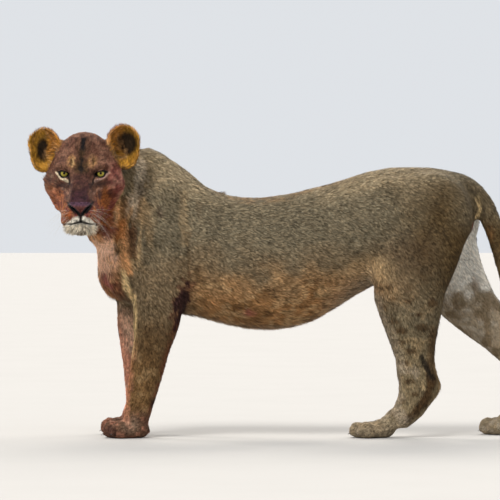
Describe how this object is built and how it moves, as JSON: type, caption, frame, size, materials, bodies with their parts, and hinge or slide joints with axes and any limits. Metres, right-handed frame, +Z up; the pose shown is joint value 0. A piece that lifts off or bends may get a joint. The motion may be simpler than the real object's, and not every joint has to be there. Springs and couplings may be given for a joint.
{
  "type": "lioness figure",
  "caption": "Life-size standing lioness with her head turned to her left and one hind leg trailing, made as a still museum-type model.",
  "frame": {"origin": "centre of the base of the bounding box, on the floor between the soles", "axes": "+Z up; she faces -X, so +X runs from her head to her tail; +Y is her right side, and her head looks along -Y"},
  "size_m": [1.7376, 0.588, 0.9795],
  "materials": {
    "coat": "short tan fur",
    "nose_leather": "dark, fine grained, slightly moist",
    "eye": "yellow-green iris under a clear cornea"
  },
  "bodies": {
    "root": {"head": "coat", "lower_jaw": "coat", "ear_left": "coat", "ear_right": "coat", "neck": "coat", "chest": "coat", "belly": "coat", "haunches": "coat", "foreleg_left": "coat", "foreleg_right": "coat", "fore_paw_left": "coat", "fore_paw_right": "coat", "hind_leg_left": "coat", "hind_leg_right": "coat", "hind_paw_left": "coat", "hind_paw_right": "coat", "tail_root": "coat", "tail_middle": "coat", "tail_tuft": "coat", "nose": "nose_leather", "eye_left": "eye", "eye_right": "eye"}
  },
  "joints": []
}
